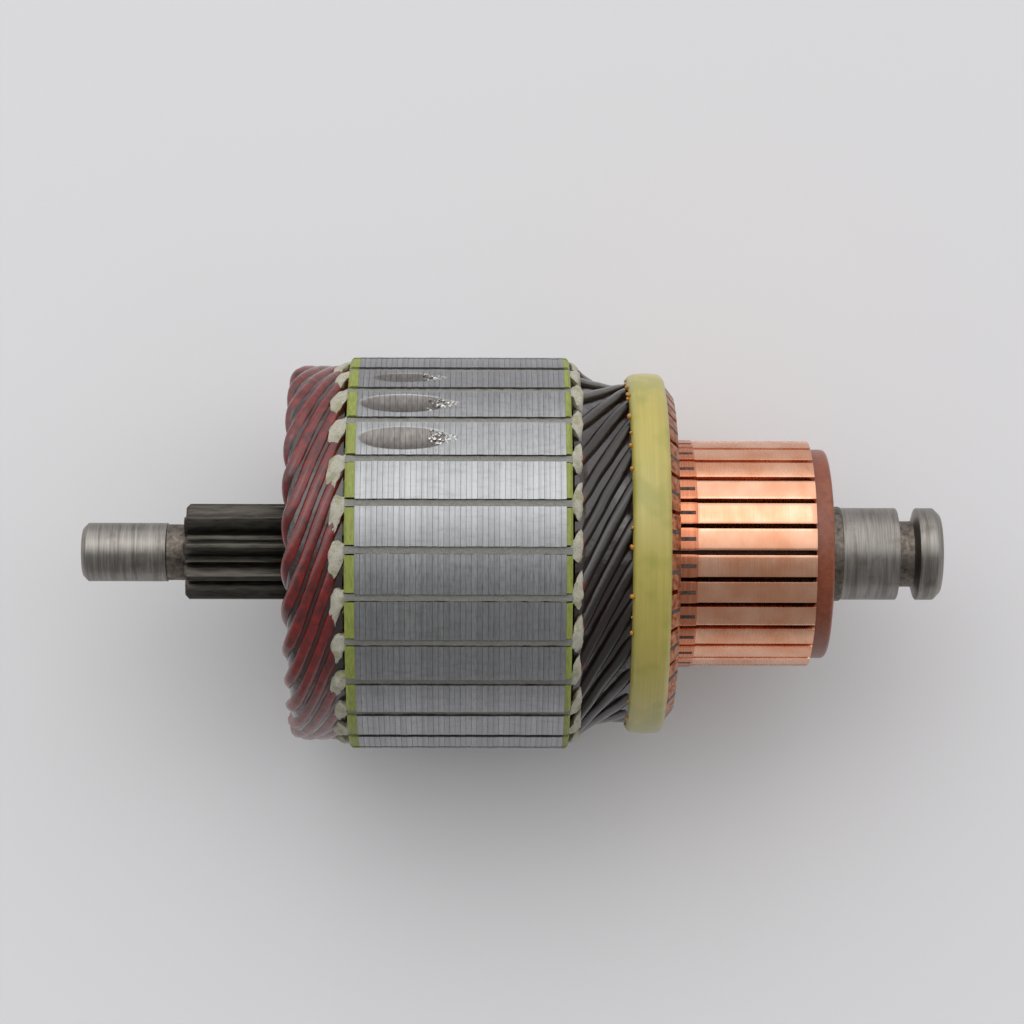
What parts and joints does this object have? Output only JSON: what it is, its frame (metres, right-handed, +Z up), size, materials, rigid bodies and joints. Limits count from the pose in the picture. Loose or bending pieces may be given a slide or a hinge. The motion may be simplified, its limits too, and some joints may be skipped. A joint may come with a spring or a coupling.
{
  "type": "motor armature",
  "caption": "Wound armature of a geared starter motor: laminated core, wave-wound hairpin coils, banded risers, undercut commutator and a shaft with a cut pinion.",
  "frame": {"origin": "on the shaft's axis at the middle of the core stack", "axes": "+X along the shaft towards the commutator; +Z up, the armature lying on its core"},
  "size_m": [0.1303, 0.0594, 0.0594],
  "materials": {
    "ground_steel": "ground and turned",
    "sheet_steel": "stacked sheet edges",
    "plate_board": "matt",
    "insulating_paper": "fibrous",
    "enamelled_wire": "glossy red enamel over copper",
    "resin_glass": "resin-soaked glass strand",
    "commutator_copper": "turned copper, worn by brushes",
    "mica": "matt",
    "phenolic_moulding": "moulded"
  },
  "bodies": {
    "root": {"shaft": "ground_steel", "core_laminations": "sheet_steel", "drive_end_plate": "plate_board", "commutator_end_plate": "plate_board", "slot_liners": "insulating_paper", "coil_01": "enamelled_wire", "coil_02": "enamelled_wire", "coil_03": "enamelled_wire", "coil_04": "enamelled_wire", "coil_05": "enamelled_wire", "coil_06": "enamelled_wire", "coil_07": "enamelled_wire", "coil_08": "enamelled_wire", "coil_09": "enamelled_wire", "coil_10": "enamelled_wire", "coil_11": "enamelled_wire", "coil_12": "enamelled_wire", "coil_13": "enamelled_wire", "coil_14": "enamelled_wire", "coil_15": "enamelled_wire", "coil_16": "enamelled_wire", "coil_17": "enamelled_wire", "coil_18": "enamelled_wire", "coil_19": "enamelled_wire", "coil_20": "enamelled_wire", "coil_21": "enamelled_wire", "coil_22": "enamelled_wire", "coil_23": "enamelled_wire", "coil_24": "enamelled_wire", "coil_25": "enamelled_wire", "coil_26": "enamelled_wire", "coil_27": "enamelled_wire", "banding": "resin_glass", "commutator_bars": "commutator_copper", "commutator_mica": "mica", "commutator_hub": "phenolic_moulding"}
  },
  "joints": []
}
